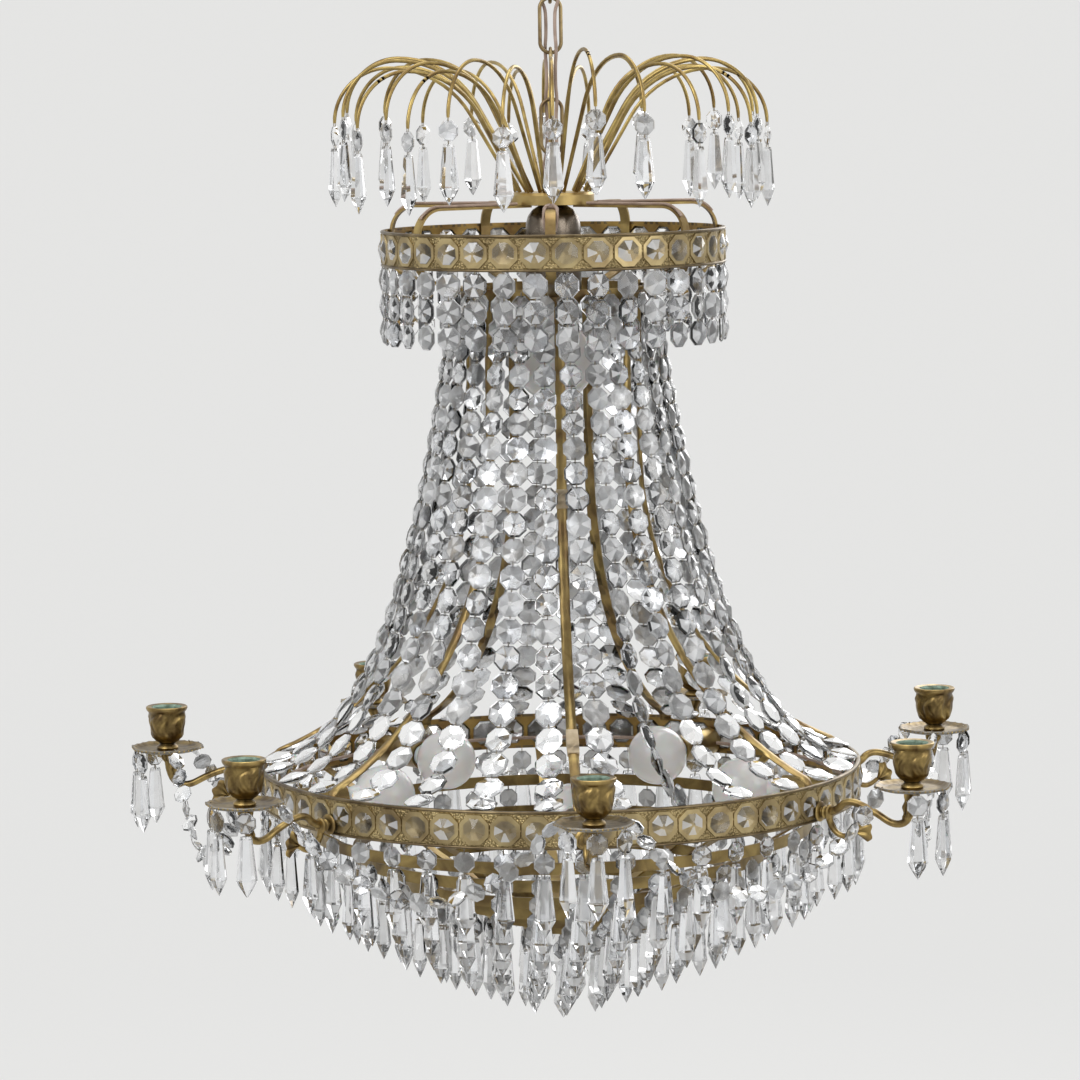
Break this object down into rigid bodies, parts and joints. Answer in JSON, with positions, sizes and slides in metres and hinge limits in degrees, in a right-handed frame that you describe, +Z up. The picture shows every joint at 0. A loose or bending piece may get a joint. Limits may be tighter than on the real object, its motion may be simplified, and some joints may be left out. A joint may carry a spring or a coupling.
{
  "type": "crystal chandelier",
  "caption": "Hanging crystal chandelier: brass spray and crown, flared cage of crystal strands, candle arms with cups and swags, and a basket of drops below, hung on a link chain.",
  "frame": {"origin": "on the inner top surface of the top chain link, where the ceiling hook bears", "axes": "+Z up, -Y towards the viewer of the picture, +X to the viewer's right"},
  "size_m": [0.6931, 0.6865, 0.8616],
  "materials": {
    "chain_brass": "aged, brown in the hollows",
    "flex": "old pinkish brown flex",
    "connector": "plain",
    "hub_brass": "yellow, lightly tarnished",
    "wire_brass": "aged",
    "dark_bronze": "dark bronze lacquer",
    "lamp_brass": "plain",
    "opal_glass": "opal",
    "strap_brass": "aged",
    "stamped_brass": "stamped and gilt, dark in the ground",
    "ring_brass": "aged",
    "arm_brass": "cast, aged",
    "pan_brass": "greyish, dull",
    "cup_brass": "cast, aged",
    "nut_steel": "dull",
    "crystal": "cut and polished"
  },
  "bodies": {
    "ceiling_link": {"chain_link_1": "chain_brass", "cord_terminals": "connector"},
    "link_2": {"chain_link_2": "chain_brass", "supply_cord_1": "flex"},
    "link_3": {"chain_link_3": "chain_brass", "supply_cord_2": "flex"},
    "link_4": {"chain_link_4": "chain_brass", "supply_cord_3": "flex"},
    "pendant_1": {"pan_pendant_1": "crystal"},
    "pendant_2": {"pan_pendant_2": "crystal"},
    "pendant_3": {"pan_pendant_3": "crystal"},
    "pendant_4": {"pan_pendant_4": "crystal"},
    "pendant_5": {"pan_pendant_5": "crystal"},
    "pendant_6": {"pan_pendant_6": "crystal"},
    "pendant_7": {"pan_pendant_7": "crystal"},
    "top_bulb": {"top_bulb": "opal_glass"},
    "ring_bulb_1": {"ring_bulb_1": "opal_glass"},
    "ring_bulb_2": {"ring_bulb_2": "opal_glass"},
    "ring_bulb_3": {"ring_bulb_3": "opal_glass"},
    "ring_bulb_4": {"ring_bulb_4": "opal_glass"},
    "ring_bulb_5": {"ring_bulb_5": "opal_glass"},
    "chandelier": {"arm_nuts": "nut_steel", "basket_disc": "strap_brass", "basket_straps": "strap_brass", "candle_arms": "arm_brass", "candle_cups": "cup_brass", "crown_straps": "strap_brass", "drip_pans": "pan_brass", "fringe_crystals": "crystal", "lamp_cable": "flex", "lamp_cover": "dark_bronze", "lamp_holders": "lamp_brass", "lower_ring": "stamped_brass", "lower_ring_crystals": "crystal", "lower_ring_drops": "crystal", "pan_drops": "crystal", "rib_screws": "nut_steel", "ribs": "strap_brass", "spray_crystals": "crystal", "spray_hub": "hub_brass", "spray_wires": "wire_brass", "stem_eye": "chain_brass", "strand_ring": "ring_brass", "strand_set_1": "crystal", "strand_set_2": "crystal", "strand_set_3": "crystal", "strand_set_4": "crystal", "supply_cord_4": "flex", "swags": "crystal", "tier_drops": "crystal", "tier_ring_1": "ring_brass", "tier_ring_2": "ring_brass", "tier_ring_3": "ring_brass", "tier_ring_4": "ring_brass", "tier_ring_5": "ring_brass", "tier_ring_6": "ring_brass", "top_lamp_holder": "lamp_brass", "upper_ring": "stamped_brass", "upper_ring_crystals": "crystal"}
  },
  "joints": [
    {"name": "link_2_swing", "type": "hinge", "parent": "ceiling_link", "child": "link_2", "pos_m": [0, 0, -0.0415], "axis": [0, 1, 0], "range_deg": [-12, 12], "deforming": ["supply_cord_1"]},
    {"name": "link_3_swing", "type": "hinge", "parent": "link_2", "child": "link_3", "pos_m": [0, 0, -0.0812], "axis": [1, 0, 0], "range_deg": [-12, 12], "deforming": ["supply_cord_2"]},
    {"name": "link_4_swing", "type": "hinge", "parent": "link_3", "child": "link_4", "pos_m": [0, 0, -0.1209], "axis": [0, 1, 0], "range_deg": [-12, 12], "deforming": ["supply_cord_3"]},
    {"name": "chandelier_swing", "type": "hinge", "parent": "link_4", "child": "chandelier", "pos_m": [0, 0, -0.1606], "axis": [1, 0, 0], "range_deg": [-12, 12], "deforming": ["supply_cord_4"]},
    {"name": "pendant_1_swing", "type": "hinge", "parent": "chandelier", "child": "pendant_1", "pos_m": [0.02444, -0.34955, -0.6398], "axis": [0.9976, 0.0698, 0], "range_deg": [-25, 15]},
    {"name": "pendant_2_swing", "type": "hinge", "parent": "chandelier", "child": "pendant_2", "pos_m": [0.28853, -0.19883, -0.6398], "axis": [0.5674, 0.8234, 0], "range_deg": [-25, 15]},
    {"name": "pendant_3_swing", "type": "hinge", "parent": "chandelier", "child": "pendant_3", "pos_m": [0.33534, 0.10161, -0.6398], "axis": [-0.29, 0.957, 0], "range_deg": [-25, 15]},
    {"name": "pendant_4_swing", "type": "hinge", "parent": "chandelier", "child": "pendant_4", "pos_m": [0.12964, 0.32554, -0.6398], "axis": [-0.929, 0.37, 0], "range_deg": [-25, 15]},
    {"name": "pendant_5_swing", "type": "hinge", "parent": "chandelier", "child": "pendant_5", "pos_m": [-0.17369, 0.30433, -0.6398], "axis": [-0.8685, -0.4957, 0], "range_deg": [-25, 15]},
    {"name": "pendant_6_swing", "type": "hinge", "parent": "chandelier", "child": "pendant_6", "pos_m": [-0.34622, 0.05395, -0.6398], "axis": [-0.154, -0.9881, 0], "range_deg": [-25, 15]},
    {"name": "pendant_7_swing", "type": "hinge", "parent": "chandelier", "child": "pendant_7", "pos_m": [-0.25805, -0.23705, -0.6398], "axis": [0.6765, -0.7364, 0], "range_deg": [-25, 15]},
    {"name": "top_bulb_unscrew", "type": "slide", "parent": "chandelier", "child": "top_bulb", "axis": [0, 0, -1], "range_m": [0, 0.03]},
    {"name": "ring_bulb_1_unscrew", "type": "slide", "parent": "chandelier", "child": "ring_bulb_1", "axis": [-0.0523, 0.9986, 0], "range_m": [0, 0.024]},
    {"name": "ring_bulb_2_unscrew", "type": "slide", "parent": "chandelier", "child": "ring_bulb_2", "axis": [-0.9659, 0.2588, 0], "range_m": [0, 0.024]},
    {"name": "ring_bulb_3_unscrew", "type": "slide", "parent": "chandelier", "child": "ring_bulb_3", "axis": [-0.5446, -0.8387, 0], "range_m": [0, 0.024]},
    {"name": "ring_bulb_4_unscrew", "type": "slide", "parent": "chandelier", "child": "ring_bulb_4", "axis": [0.6293, -0.7771, 0], "range_m": [0, 0.024]},
    {"name": "ring_bulb_5_unscrew", "type": "slide", "parent": "chandelier", "child": "ring_bulb_5", "axis": [0.9336, 0.3584, 0], "range_m": [0, 0.024]}
  ]
}
